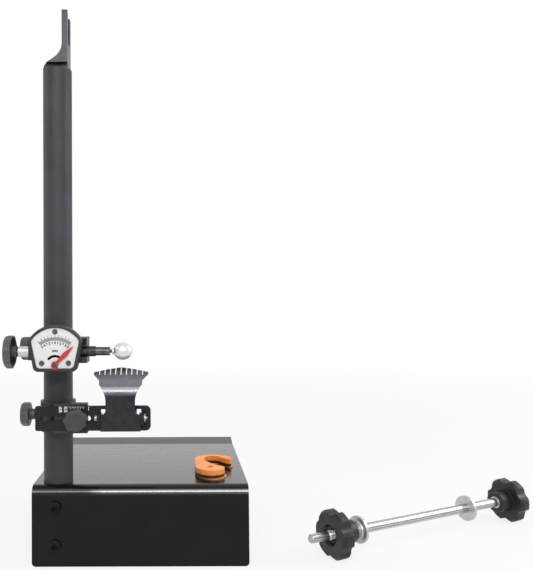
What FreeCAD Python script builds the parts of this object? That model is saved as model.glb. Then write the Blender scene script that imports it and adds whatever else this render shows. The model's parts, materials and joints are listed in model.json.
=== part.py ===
"""Bicycle wheel truing stand: one-sided bench stand with a dial gauge for side run-out,
a notched blade for radial run-out, a threaded clamp axle and a C-shaped hub spacer.

Frame: origin on the floor at the middle of the front panel's lower edge,
+X to the right, +Y towards the back, +Z up. Millimetres.
"""
import FreeCAD, Part
import math
import os
import re

import Sketcher

V = FreeCAD.Vector
TURN = FreeCAD.Rotation

UP = TURN()
TO_RIGHT = TURN(V(0, 1, 0), 90)      # local +Z points to +X
TO_LEFT = TURN(V(0, 1, 0), -90)      # local +Z points to -X
TO_BACK = TURN(V(1, 0, 0), -90)      # local +Z points to +Y
TO_FRONT = TURN(V(1, 0, 0), 90)      # local +Z points to -Y

# ---------------------------------------------------------------- driving dimensions
DIMENSIONS = {
    # base: one bent sheet
    "sheet": 3, "base_width": 218, "base_height": 80, "plate_depth": 198,
    "ramp_run": 32, "ramp_rise": 4.5, "fold_radius": 9, "panel_corner": 4,
    # column
    "column_x": -85.7, "column_y": 22.5, "column_radius": 15, "column_wall": 2,
    "column_foot": 4, "column_top": 507.8, "column_gap": 0.15,
    "screw_low": 20.6, "screw_high": 58.9, "screw_radius": 3.95, "screw_hole": 4.3,
    "screw_head": 6.3, "screw_head_height": 4.2, "socket_size": 2.9, "socket_depth": 2.4,
    "nut_radius": 4.9, "nut_bulge": 7.2, "nut_length": 15, "nut_shoulder": 5.8,
    # dropout head
    "head_left": -79.2, "head_thick": 5.6, "head_width": 24, "head_top": 568.6,
    "slot_width": 10.4, "slot_flare": 2.6, "slot_bottom": 534, "spigot_length": 14,
    "rear_prong_drop": 3.4, "crease_radius": 4.2, "crease_rise": 1.5,
    # bushes shared by both collars
    "bush_inner": 15.06, "bush_outer": 16.6, "collar_bore": 16.68,
    "bush_flange": 18.2, "flange_thick": 3,
    # upper collar block
    "block_low": 204.6, "block_height": 25.2, "block_left": -109.2, "block_right": -51.2,
    "block_front": -13.5, "block_back": 8, "upper_ring": 19.4,
    "pocket_left": -92, "pocket_back": -1.2, "pocket_low": 206.2, "pocket_high": 221,
    "throat_left": -60, "throat_low": 210.6, "slit_x": -53.4, "slit_width": 2.4,
    "upper_clamp_height": 217.3,
    # dial gauge
    "dial_x": -81.2, "dial_wide": 26.7, "dial_shoulder": 227, "dial_apex": 242.9,
    "dial_foot": 21, "dial_low": 196.9, "dial_corner": 5.6, "rim_wall": 3, "rim_round": 1.4,
    "housing_front": -23, "housing_floor": 2, "plate_front": -21.8, "plate_thick": 1,
    "pivot_x": -81.2, "pivot_height": 203.8, "needle_length": 25.4, "needle_angle": 45,
    "needle_back": -23.1, "needle_thick": 0.8, "drive_radius": 8.5, "drive_pin": 0.9,
    "dial_screw_up": 236, "dial_screw_low": 205.3, "dial_screw_side": 13.1,
    "dial_screw_head": 2.75,
    # plunger
    "plunger_y": -6.5, "plunger_z": 215.8, "rod_radius": 3, "plunger_radius": 4.25,
    "rod_left": -132, "rod_step": -70.5, "plunger_right": -28.9, "stem_radius": 1.75,
    "yoke_width": 7, "yoke_slot": 2.5, "yoke_thick": 1.6, "yoke_front": -12.9,
    "yoke_hub": 4.6, "ball_x": -16.1, "ball_length": 9.75, "ball_radius": 8.75,
    "guide_nut_left": -120.1, "guide_nut_radius": 5.3, "guide_nut_end": -105,
    "guide_bush_left": -62, "guide_bush_step": -50.4, "guide_bush_right": -43.1,
    "guide_bush_radius": 4.9, "guide_bush_head": 5.1,
    "spring_radius": 3.9, "spring_wire": 0.4, "spring_turns": 9,
    # star knobs
    "adjust_knob_radius": 16.8, "adjust_knob_thick": 8.2, "adjust_knob_back": -125.5,
    "clamp_knob_radius": 12.4, "lock_knob_radius": 11.8, "knob_thick": 9, "knob_hub": 5.5,
    "clamp_knob_back": -115, "clamp_screw_radius": 2.5, "clamp_boss": 6.6,
    # lower collar and its guide channel
    "lower_clamp_height": 148.9, "lower_low": 135.6, "lower_height": 24.7,
    "lower_ring": 18.3, "lower_boss_left": -108.6, "channel_left": -85,
    "channel_right": -51.6, "channel_low": 134.7, "channel_high": 164.1,
    "channel_back": 0, "saddle_right": -70, "saddle_back": 8,
    # sliding arm
    "arm_left": -103.4, "arm_length": 114.8, "arm_height": 24.6, "arm_middle": 149.4,
    "arm_front": -9.1, "arm_thick": 3, "arm_corner": 5, "arm_slot_left": -98.5,
    "arm_slot_length": 50.5, "arm_slot_width": 5.2, "lock_x": -61.6, "lock_height": 149.4,
    # notched blade on its hinge
    "blade_x": -18, "blade_sheet": 1.5, "blade_web": 19.8, "blade_neck": 14.5,
    "blade_low": 138, "blade_shoulder": 154.6, "blade_front": -18.5,
    "bend_height": 178.7, "bend_radius": 12.4, "fan_tilt": 40, "fan_length": 34,
    "fan_step": 21.4, "fan_half": 27.2, "fan_waist": 183.4, "fan_tip_low": 192.4,
    "fan_tip": 194.6, "fan_apex": 199.1, "edge_round": 1.1,
    "notch_count": 9, "notch_pitch": 5.36, "notch_width": 0.95, "notch_low": 192.2,
    "hinge_y": -13.6, "hinge_z": 150.4, "hinge_radius": 1.75, "lug_gap": 0.2,
    "window_low": 142.5, "window_high": 158.4, "window_width": 4.4,
    # clamp axle lying beside the base
    "axle_x": 171.2, "axle_y": 7.6, "axle_yaw": 26.5, "axle_radius": 5, "axle_length": 296,
    "tip_radius": 4.6, "tip_length": 24,
    "hand_knob_radius": 25, "hand_knob_thick": 14, "hand_knob_hub": 11.5,
    "hand_knob_hub_length": 16, "scallop_radius": 8.5, "scallop_centre": 29,
    "near_knob_at": 38.4, "far_knob_at": 287.1, "insert_radius": 6.5, "insert_length": 12,
    "near_adapter_at": 64.5, "far_adapter_at": 221, "adapter_radius": 14,
    "adapter_flange": 3, "adapter_nose": 8.5, "adapter_nose_end": 6.8,
    "adapter_nose_length": 5.5, "adapter_bore": 5.08,
    # C-shaped hub spacer on the base
    "spacer_top_thick": 5.2, "spacer_core_thick": 3, "spacer_bottom_thick": 1.3,
    "spacer_hole_x": 72.3, "spacer_hole_y": 39.2, "spacer_hole": 3.6,
}

doc = FreeCAD.newDocument("TruingStand")
sheet = doc.addObject("Spreadsheet::Sheet", "Dims")
for row, (alias, value) in enumerate(DIMENSIONS.items(), start=1):
    sheet.set(f"A{row}", alias)
    sheet.set(f"B{row}", str(value))
    sheet.setAlias(f"B{row}", alias)
doc.recompute()

WORDS = re.compile(r"[a-z][a-z_]*")
nodes = {}


def link(text):
    """The expression text with each driving dimension read from the sheet."""
    return WORDS.sub(lambda m: "Dims." + m.group(0) if m.group(0) in DIMENSIONS else m.group(0),
                     str(text))


def size(text):
    """The present value, in millimetres, of an expression of driving dimensions."""
    return float(sheet.evalExpression(link(text)))


def spot(x, y, z):
    """A point from three expressions."""
    return V(size(x), size(y), size(z))


# ---------------------------------------------------------------- building blocks
def place(item, at, turn=UP):
    """Put an object at three expressions, turned; the place stays bound to the sheet."""
    item.Placement = FreeCAD.Placement(spot(*at), turn)
    for axis, text in zip("xyz", at):
        item.setExpression("Placement.Base." + axis, link(text))
    return item


def primitive(kind, at, turn, **sizes):
    """A Part primitive whose sizes and place are bound to the sheet."""
    item = doc.addObject("Part::" + kind, kind)
    for name, text in sizes.items():
        item.setExpression(name, link(text))
    return place(item, at, turn)


def box(x, y, z, length, width, height):
    return primitive("Box", (x, y, z), UP, Length=length, Width=width, Height=height)


def rod(at, turn, radius, length):
    return primitive("Cylinder", at, turn, Radius=radius, Height=length)


def cone(at, turn, start, end, length):
    return primitive("Cone", at, turn, Radius1=start, Radius2=end, Height=length)


def hexagon(at, turn, radius, length):
    item = primitive("Prism", at, turn, Circumradius=radius, Height=length)
    item.Polygon = 6
    return item


def join(*items):
    """One solid from several overlapping ones."""
    if len(items) == 1:
        return items[0]
    item = doc.addObject("Part::MultiFuse", "Join")
    item.Shapes = list(items)
    item.Refine = True
    return item


def cut(base, *tools):
    item = doc.addObject("Part::Cut", "Cut")
    item.Base = base
    item.Tool = join(*tools)
    item.Refine = True
    return item


def group(*items):
    """Separate solids that share one node."""
    item = doc.addObject("Part::Compound", "Group")
    item.Links = list(items)
    return item


def shaped(shape, at=("0", "0", "0"), turn=UP):
    """A shape made with Part's own functions, then placed."""
    item = doc.addObject("Part::Feature", "Shaped")
    item.Shape = shape
    return place(item, at, turn)


def node(label, item):
    """Name a finished sub-part; its label names its file."""
    item.Label = label
    nodes[label] = item
    return item


# ---------------------------------------------------------------- PartDesign helpers
def new_body(label, at=("0", "0", "0"), turn=UP):
    return node(label, place(doc.addObject("PartDesign::Body", label), at, turn))


def sketch_on(body, role):
    """An empty sketch flat on one of the body's own origin planes."""
    sketch = body.newObject("Sketcher::SketchObject", "Sketch")
    plane = [p for p in body.Origin.OriginFeatures if p.Role == role][0]
    sketch.AttachmentSupport = [(plane, "")]
    sketch.MapMode = "FlatFace"
    return sketch


def pin_point(sketch, geometry, end, x, y):
    """Hold a sketch point at two expressions, measured from the sketch's origin."""
    for kind, axis, text in (("DistanceX", -2, x), ("DistanceY", -1, y)):
        value = size(text)
        if abs(value) < 1e-9:
            sketch.addConstraint(Sketcher.Constraint("PointOnObject", geometry, end, axis))
            continue
        index = sketch.addConstraint(Sketcher.Constraint(kind, -1, 1, geometry, end, value))
        name = f"{kind}{geometry}"
        sketch.renameConstraint(index, name)
        sketch.setExpression("Constraints." + name, link(text))


def draw_outline(sketch, points):
    """A closed outline of straight lines; each corner is a pair of expressions."""
    corners = [V(size(x), size(y), 0) for x, y in points]
    first = sketch.GeometryCount
    count = len(corners)
    for i, corner in enumerate(corners):
        sketch.addGeometry(Part.LineSegment(corner, corners[(i + 1) % count]), False)
    for i in range(count):
        following = first + (i + 1) % count
        sketch.addConstraint(Sketcher.Constraint("Coincident", first + i, 2, following, 1))
    for i, (x, y) in enumerate(points):
        pin_point(sketch, first + i, 1, x, y)


def draw_circle(sketch, x, y, radius):
    circle = Part.Circle(V(size(x), size(y), 0), V(0, 0, 1), size(radius))
    index = sketch.addGeometry(circle, False)
    pin_point(sketch, index, 3, x, y)
    constraint = sketch.addConstraint(Sketcher.Constraint("Radius", index, size(radius)))
    sketch.renameConstraint(constraint, f"radius{index}")
    sketch.setExpression(f"Constraints.radius{index}", link(radius))


def pad(body, sketch, length, reverse=False):
    feature = body.newObject("PartDesign::Pad", "Pad")
    feature.Profile = sketch
    feature.Reversed = reverse
    feature.setExpression("Length", link(length))
    doc.recompute()
    return feature


def pocket(body, sketch, length=None, reverse=False):
    """Cut a sketch out of a body, to a depth or right through, and check that it cut."""
    before = body.Shape.Volume
    feature = body.newObject("PartDesign::Pocket", "Pocket")
    feature.Profile = sketch
    feature.Reversed = reverse
    if length is None:
        feature.Type = "ThroughAll"
    else:
        feature.setExpression("Length", link(length))
    doc.recompute()
    if body.Shape.Volume > before - 0.01:
        raise RuntimeError(f"a pocket in {body.Label} cuts nothing")
    return feature


def revolve(body, sketch):
    """Turn a profile about the sketch's own upright axis."""
    feature = body.newObject("PartDesign::Revolution", "Revolution")
    feature.Profile = sketch
    feature.ReferenceAxis = (sketch, ["V_Axis"])
    feature.Angle = 360
    doc.recompute()
    return feature


def pattern_about_z(body, feature, count):
    """Repeat a feature evenly about the body's Z axis."""
    ring = body.newObject("PartDesign::PolarPattern", "Pattern")
    ring.Originals = [feature]
    axis = [a for a in body.Origin.OriginFeatures if a.Role == "Z_Axis"][0]
    ring.Axis = (axis, [""])
    ring.Angle = 360
    ring.Occurrences = count
    body.Tip = ring
    doc.recompute()
    return ring


def edges_where(shape, test):
    """Names of the edges of which every end and the middle pass the test."""
    names = []
    for i, edge in enumerate(shape.Edges, start=1):
        middle = edge.valueAt((edge.FirstParameter + edge.LastParameter) / 2)
        if all(test(p) for p in [v.Point for v in edge.Vertexes] + [middle]):
            names.append(f"Edge{i}")
    return names


def soften(body, kind, base, test, amount):
    """A PartDesign Fillet or Chamfer on the edges that pass the test."""
    names = edges_where(base.Shape, test)
    if not names:
        raise RuntimeError(f"no edge to soften in {body.Label}")
    feature = body.newObject("PartDesign::" + kind, kind)
    feature.Base = (base, names)
    feature.setExpression("Radius" if kind == "Fillet" else "Size", link(amount))
    body.Tip = feature
    doc.recompute()
    return feature


def near(a, b, room=0.01):
    return abs(a - b) < room


# ---------------------------------------------------------------- outlines with arcs
def flat_face(*edges):
    return Part.Face(Part.Wire(list(edges)))


def line(a, b):
    return Part.LineSegment(a, b).toShape()


def arc(a, through, b):
    return Part.Arc(a, through, b).toShape()


def rounded_outline(points, radius):
    """A closed outline in one plane with every corner rounded to the same radius."""
    count = len(points)
    edges, tangents = [], []
    for i, corner in enumerate(points):
        before = (points[i - 1] - corner).normalize()
        after = (points[(i + 1) % count] - corner).normalize()
        half = before.getAngle(after) / 2
        reach = radius / math.tan(half)
        middle = (before + after).normalize() * (radius / math.sin(half) - radius)
        tangents.append((corner + before * reach, corner + middle, corner + after * reach))
    for i, (start, through, end) in enumerate(tangents):
        edges.append(arc(start, through, end))
        edges.append(line(end, tangents[(i + 1) % count][0]))
    return flat_face(*edges)


# ---------------------------------------------------------------- base and column
def make_base_shell():
    """Front panel, top plate, shallow rear ramp and rear leg, bent from one sheet."""
    body = new_body("base_shell", ("-base_width / 2", "0", "0"))
    profile = sketch_on(body, "YZ_Plane")
    back = "plate_depth + ramp_run"
    draw_outline(profile, [
        ("0", "0"), ("0", "base_height"), ("plate_depth", "base_height"),
        (back, "base_height + ramp_rise"), (back, "0"), (back + " - sheet", "0"),
        (back + " - sheet",
         "base_height - sheet + ramp_rise * (ramp_run - sheet) / ramp_run"),
        ("plate_depth", "base_height - sheet"), ("sheet", "base_height - sheet"),
        ("sheet", "0"),
    ])
    bent = pad(body, profile, "base_width")
    height, thick, fold = size("base_height"), size("sheet"), size("fold_radius")
    rear, top = size(back), size("base_height + ramp_rise")
    bent = soften(body, "Fillet", bent,
                  lambda p: near(p.y, 0) and near(p.z, height), "fold_radius")
    bent = soften(body, "Fillet", bent,
                  lambda p: near(p.y, thick) and near(p.z, height - thick),
                  "fold_radius - sheet")
    bent = soften(body, "Fillet", bent,
                  lambda p: near(p.y, rear) and near(p.z, top), "2 * sheet")
    bent = soften(body, "Fillet", bent,
                  lambda p: near(p.y, rear - thick) and p.z > height - thick + 1, "sheet")
    bent = soften(body, "Fillet", bent,
                  lambda p: near(p.y, size("plate_depth")) and p.z > height - thick - 1,
                  "fold_radius")
    bent = soften(body, "Fillet", bent,
                  lambda p: p.y < thick + 0.01 and near(p.z, 0)
                  and (near(p.x, 0) or near(p.x, size("base_width"))), "panel_corner")
    hole = sketch_on(body, "XY_Plane")
    draw_circle(hole, "base_width / 2 + column_x", "column_y", "column_radius + column_gap")
    pocket(body, hole, reverse=True)
    screws = sketch_on(body, "XZ_Plane")
    for height_name in ("screw_low", "screw_high"):
        draw_circle(screws, "base_width / 2 + column_x", height_name, "screw_hole")
    pocket(body, screws, "2 * sheet")


def make_column_tube():
    """Round tube behind the front panel, with two holes for the rivet nuts."""
    outer = rod(("column_x", "column_y", "column_foot"), UP, "column_radius",
                "column_top - column_foot")
    inner = rod(("column_x", "column_y", "column_foot"), UP, "column_radius - column_wall",
                "column_top - column_foot")
    holes = [rod(("column_x", "0", z), TO_BACK, "nut_radius + 0.05", "column_y")
             for z in ("screw_low", "screw_high")]
    node("column_tube", cut(outer, inner, *holes))


def make_column_screws():
    """Two low button-head socket screws that hold the column to the front panel."""
    screws = []
    for z in ("screw_low", "screw_high"):
        head = rod(("column_x", "-screw_head_height / 2", z), TO_BACK, "screw_head",
                   "screw_head_height / 2")
        crown = cone(("column_x", "-screw_head_height / 2", z), TO_FRONT, "screw_head",
                     "0.62 * screw_head", "screw_head_height / 2")
        shank = rod(("column_x", "0", z), TO_BACK, "screw_radius", "nut_length + 5")
        socket = hexagon(("column_x", "-screw_head_height", z), TO_BACK, "socket_size",
                         "socket_depth")
        screws.append(cut(join(head, crown, shank), socket))
    node("column_screws", group(*screws))


def make_column_nuts():
    """Two shouldered rivet nuts: a shoulder that spaces the column from the front panel,
    a barrel through the column's wall and the bulge that holds it behind the wall."""
    nuts = []
    front = "column_y - column_radius"
    for z in ("screw_low", "screw_high"):
        shoulder = rod(("column_x", "sheet", z), TO_BACK, "nut_shoulder",
                       front + " - sheet - 0.05")
        barrel = rod(("column_x", "sheet", z), TO_BACK, "nut_radius", "nut_length")
        bulge = rod(("column_x", front + " + 2.2 * column_wall", z), TO_BACK,
                    "nut_bulge", "column_wall")
        bore = rod(("column_x", "0", z), TO_BACK, "screw_radius + 0.05", "2 * column_y")
        nuts.append(cut(join(shoulder, barrel, bulge), bore))
    node("column_nuts", group(*nuts))


def make_dropout_head():
    """Forked lug with the open axle slot, blended into the column by a curved neck that
    has a crease across its front; the rear prong is a little shorter."""
    left, right = size("head_left"), size("head_left + head_thick")
    edge, top = size("column_x - column_radius"), size("column_top")
    half, middle = size("head_width") / 2, size("column_y")

    def front(x, z):
        return V(x, middle - half, z)

    shoulder, waist = front(left - 11, top + 8.6), front(left - 6.3, top + 12.2)
    upper, corner = front(left, top + 28.6), front(edge, top)
    neck = flat_face(
        arc(corner, front(edge + 3.6, top + 3.9), shoulder), line(shoulder, waist),
        arc(waist, front(left - 1.5, top + 18.6), upper), line(upper, front(right, upper.z)),
        line(front(right, upper.z), front(right, top)), line(front(right, top), corner))
    neck = neck.extrude(V(0, 2 * half, 0))
    stub = Part.makeCylinder(size("column_radius"), 40, V(size("column_x"), middle, top))
    plate = rounded_outline([
        V(left, middle - half, top + 3), V(left, middle + half, top + 3),
        V(left, middle + half, size("head_top")), V(left, middle - half, size("head_top"))],
        2).extrude(V(right - left, 0, 0))
    spigot = Part.makeCylinder(size("column_radius - column_wall - 0.08"),
                               size("spigot_length"),
                               V(size("column_x"), middle, top - size("spigot_length")))
    crease_radius = size("crease_radius")
    crease = Part.makeCylinder(crease_radius, right - edge + 4,
                               V(edge - 2, middle - half - 0.8, top + size("crease_rise")),
                               V(1, 0, 0))
    drop = size("rear_prong_drop")
    rear_end = Part.makeBox(right - left + 2, half, drop + 1,
                            V(left - 1, middle + 1, size("head_top") - drop))
    lug = neck.common(stub).fuse(plate).cut(crease).cut(rear_end)
    head = lug.fuse(spigot).cut(axle_slot(left - 1, right - left + 2))
    node("dropout_head", shaped(head.removeSplitter()))


def axle_slot(x, length):
    """The axle's slot: a round bottom, straight walls and a mouth that flares open."""
    middle, top = size("column_y"), size("head_top")
    radius, flare = size("slot_width") / 2, size("slot_flare")
    centre = size("slot_bottom") + radius

    def at(y, z):
        return V(x, middle + y, z)

    outline = flat_face(
        arc(at(-radius, centre), at(0, centre - radius), at(radius, centre)),
        line(at(radius, centre), at(radius, top - flare)),
        line(at(radius, top - flare), at(radius + flare + 1, top + 1)),
        line(at(radius + flare + 1, top + 1), at(-radius - flare - 1, top + 1)),
        line(at(-radius - flare - 1, top + 1), at(-radius, top - flare)),
        line(at(-radius, top - flare), at(-radius, centre)))
    return outline.extrude(V(length, 0, 0))


# ---------------------------------------------------------------- shared gauge pieces
def make_bush(label, low, height):
    """A pair of flanged plastic sleeves, one pushed in from each end of a collar."""
    x, y = "column_x", "column_y"

    def half(sleeve_low, flange_low):
        sleeve = rod((x, y, sleeve_low), UP, "bush_outer", f"{height} / 2 + 0.1")
        flange = rod((x, y, flange_low), UP, "bush_flange", "flange_thick")
        bore = rod((x, y, f"{low} - 10"), UP, "bush_inner", f"{height} + 20")
        return cut(join(sleeve, flange), bore)

    lower = half(f"{low} - 0.3", f"{low} - 0.2 - flange_thick")
    upper = half(f"{low} + {height} / 2 + 0.2", f"{low} + {height} + 0.2")
    node(label, group(lower, upper))


def make_clamp_screw(label, height):
    """Clamp screw that presses on the bush from the left."""
    tip = "column_x - bush_outer - 0.12"
    node(label, rod((tip, "column_y", height), TO_LEFT, "clamp_screw_radius",
                    f"{tip} - clamp_knob_back + knob_thick / 2"))


def star_knob(label, at, turn, outline, lobes, scallop, centre):
    """A turned knob with evenly spaced scallops that leave its lobes."""
    body = new_body(label, at, turn)
    profile = sketch_on(body, "XZ_Plane")
    draw_outline(profile, outline)
    revolve(body, profile)
    notch = sketch_on(body, "XY_Plane")
    draw_circle(notch, centre, "0", scallop)
    first = pocket(body, notch, length="60", reverse=True)
    pattern_about_z(body, first, lobes)
    return body


def make_small_knob(label, radius, at, turn):
    """Seven-lobed knob; its hub faces the collar and its bore holds the screw."""
    outline = [
        ("clamp_screw_radius", "-knob_hub"), ("knob_hub", "-knob_hub"), ("knob_hub", "0"),
        (f"{radius} - 1", "0"), (radius, "1"), (radius, "knob_thick - 2"),
        (f"{radius} - 1.6", "knob_thick - 0.5"), (f"{radius} - 4", "knob_thick"),
        ("0", "knob_thick"), ("0", "knob_thick / 2"),
        ("clamp_screw_radius", "knob_thick / 2"),
    ]
    star_knob(label, at, turn, outline, 7, f"1.72 * {radius}", f"2.6 * {radius}")


# ---------------------------------------------------------------- upper gauge
def make_upper_collar():
    """Ring round the column with the gauge block in front and the clamp boss at left."""
    ring = rod(("column_x", "column_y", "block_low"), UP, "upper_ring", "block_height")
    block = box("block_left", "block_front", "block_low", "block_right - block_left",
                "block_back - block_front", "block_height")
    boss = rod(("block_left", "column_y", "upper_clamp_height"), TO_RIGHT, "clamp_boss",
               "column_x - block_left")
    bore = rod(("column_x", "column_y", "block_low"), UP, "collar_bore", "block_height")
    screw_hole = rod(("block_left", "column_y", "upper_clamp_height"), TO_RIGHT,
                     "clamp_screw_radius + 0.05", "column_x - block_left")
    opening = box("pocket_left", "block_front", "pocket_low", "throat_left - pocket_left",
                  "pocket_back - block_front", "pocket_high - pocket_low")
    throat = box("throat_left - 1", "block_front", "throat_low",
                 "block_right - throat_left + 1", "pocket_back - block_front",
                 "pocket_high - throat_low")
    slit = box("slit_x - slit_width / 2", "block_front", "pocket_high + 1.5", "slit_width",
               "5", "5.4")
    step = box("block_left", "block_front", "block_low", "5", "block_back - block_front", "3")
    spring_bore = rod(("block_left", "plunger_y", "plunger_z"), TO_RIGHT, "4.8",
                      "pocket_left - block_left")
    solid = cut(join(ring, block, boss), bore, screw_hole, opening, throat, slit, step)
    node("upper_collar", cut(solid, spring_bore))


def dial_outline(inset, y):
    """The dial's outline: a wide arc on top, sides that run in to a flat foot."""
    x = size("dial_x")
    wide, foot = size("dial_wide") - inset, size("dial_foot") - inset
    shoulder, low = size("dial_shoulder"), size("dial_low") + 1.1 * inset
    apex = size("dial_apex") - inset
    corner = size("dial_corner") - 0.6 * inset
    rise = apex - shoulder
    radius = (wide * wide + rise * rise) / (2 * rise)
    top = Part.makeCylinder(radius, 1, V(x, y, apex - radius), V(0, 1, 0))
    drop = 2 * corner
    slope = (wide - foot) / (shoulder - low)
    sides = rounded_outline([
        V(x - wide - drop * slope, y, shoulder + drop), V(x - foot, y, low),
        V(x + foot, y, low), V(x + wide + drop * slope, y, shoulder + drop)], 1.0)
    body = sides.extrude(V(0, 1, 0)).fuse(
        Part.makeBox(2 * wide, 1, 2 * rise, V(x - wide, y, shoulder)))
    blank = body.common(top).removeSplitter()
    face = [f for f in blank.Faces if near(f.CenterOfMass.y, y)][0]
    return round_corners(face, corner)


def round_corners(face, radius):
    """Round the corners of a face in the XZ plane by shrinking and growing it."""
    return face.makeOffset2D(-radius).makeOffset2D(radius)


DIAL_SCREWS = (("pivot_x", "dial_screw_up"), ("pivot_x - dial_screw_side", "dial_screw_low"),
               ("pivot_x + dial_screw_side", "dial_screw_low"))
DIAL_HOLES = DIAL_SCREWS + (("pivot_x", "pivot_height"),)


def make_gauge_housing():
    """Open dial case: floor, rounded rim, three screw posts and a window for the drive pin."""
    front, back = size("housing_front"), size("block_front")
    floor = size("housing_floor")
    case = dial_outline(0, front).extrude(V(0, back - front, 0))
    rim = [e for e in case.Edges if near(e.BoundBox.YMin, front) and near(e.BoundBox.YMax, front)]
    case = case.makeFillet(size("rim_round"), rim)
    hollow = dial_outline(size("rim_wall"), front).extrude(V(0, back - front - floor, 0))
    case = case.cut(hollow)
    plate_back = size("plate_front + plate_thick")
    for x, z in DIAL_HOLES:
        foot = V(size(x), plate_back, size(z))
        case = case.fuse(Part.makeCylinder(2.8, back - plate_back, foot, V(0, 1, 0)))
        case = case.cut(Part.makeCylinder(1.25, back - plate_back, foot, V(0, 1, 0)))
    window = Part.makeBox(19, 10, 8, spot("pivot_x - 9.5", "block_front - 5",
                                             "pivot_height + 3.1"))
    node("gauge_housing", shaped(case.cut(window).removeSplitter()))


def drive_slot(half_width, sweep, y, depth):
    """A slot along the drive pin's arc about the needle's pivot."""
    pivot = spot("pivot_x", "0", "pivot_height")
    inner = size("drive_radius") - half_width
    outer = size("drive_radius") + half_width
    edges = []

    def on_arc(radius, degrees):
        angle = math.radians(degrees)
        return V(pivot.x + radius * math.sin(angle), y, pivot.z + radius * math.cos(angle))

    edges.append(arc(on_arc(outer, -sweep), on_arc(outer, 0), on_arc(outer, sweep)))
    edges.append(line(on_arc(outer, sweep), on_arc(inner, sweep)))
    edges.append(arc(on_arc(inner, sweep), on_arc(inner, 0), on_arc(inner, -sweep)))
    edges.append(line(on_arc(inner, -sweep), on_arc(outer, -sweep)))
    return flat_face(*edges).extrude(V(0, depth, 0))


def make_dial_plate():
    """White face plate with the drive pin's curved slot."""
    y = size("plate_front")
    thick = size("plate_thick")
    plate = dial_outline(size("rim_wall") + 0.1, y).extrude(V(0, thick, 0))
    plate = plate.cut(drive_slot(1.2, 54, y, thick))
    for x, z in DIAL_HOLES:
        plate = plate.cut(Part.makeCylinder(1.4, thick, spot(x, "plate_front", z), V(0, 1, 0)))
    node("dial_plate", shaped(plate))


def make_dial_screws():
    """Three small socket screws that hold the face plate in its case."""
    screws = []
    for x, z in DIAL_SCREWS:
        head = cone((x, "plate_front", z), TO_FRONT, "dial_screw_head",
                    "dial_screw_head - 0.5", "1.3")
        shank = rod((x, "plate_front", z), TO_BACK, "1.15", "6.5")
        socket = hexagon((x, "plate_front - 1.3", z), TO_BACK, "1.25", "0.9")
        screws.append(cut(join(head, shank), socket))
    node("dial_screws", group(*screws))


def make_needle_pivot():
    """Shoulder screw: a collar on the face plate, the journal and a low head."""
    at = ("pivot_x", "plate_front", "pivot_height")
    collar = rod(at, TO_FRONT, "2.3", "1.2")
    journal = rod(at, TO_FRONT, "1.45", "2.4")
    head = rod(("pivot_x", "plate_front - 2.25", "pivot_height"), TO_FRONT, "2.3", "0.9")
    shank = rod(at, TO_BACK, "1.2", "6.5")
    socket = hexagon(("pivot_x", "plate_front - 3.15", "pivot_height"), TO_BACK, "1.2", "0.6")
    node("needle_pivot", cut(join(collar, journal, head, shank), socket))


def make_needle():
    """Red pointer with a hub, a short tail and the drive pin riveted in it."""
    y = size("needle_back - needle_thick")
    thick = size("needle_thick")
    angle = math.radians(size("needle_angle"))
    along = V(math.sin(angle), 0, math.cos(angle))
    across = V(math.cos(angle), 0, -math.sin(angle))
    pivot = spot("pivot_x", "0", "pivot_height") + V(0, y, 0)
    length = size("needle_length")
    reach = ((2.0, 1.6), (6.0, 1.5), (0.56 * length, 2.45), (length, 0.15))
    left = [pivot + along * s - across * w for s, w in reach]
    right = [pivot + along * s + across * w for s, w in reversed(reach)]
    points = left + right + [left[0]]
    blade = Part.Face(Part.makePolygon(points)).extrude(V(0, thick, 0))
    hub = Part.makeCylinder(3.4, thick, pivot, V(0, 1, 0))
    tail = Part.makeBox(5.2, thick, 4.3, pivot - V(2.6, 0, 4.3))
    hole = Part.makeCylinder(1.5, thick, pivot, V(0, 1, 0))
    drive = pivot + along * size("drive_radius")
    pin = Part.makeCylinder(size("drive_pin"), size("yoke_front") - y + 1.9, drive, V(0, 1, 0))
    needle = blade.fuse(hub).fuse(tail).cut(hole).fuse(pin).removeSplitter()
    node("needle", shaped(needle))


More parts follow.
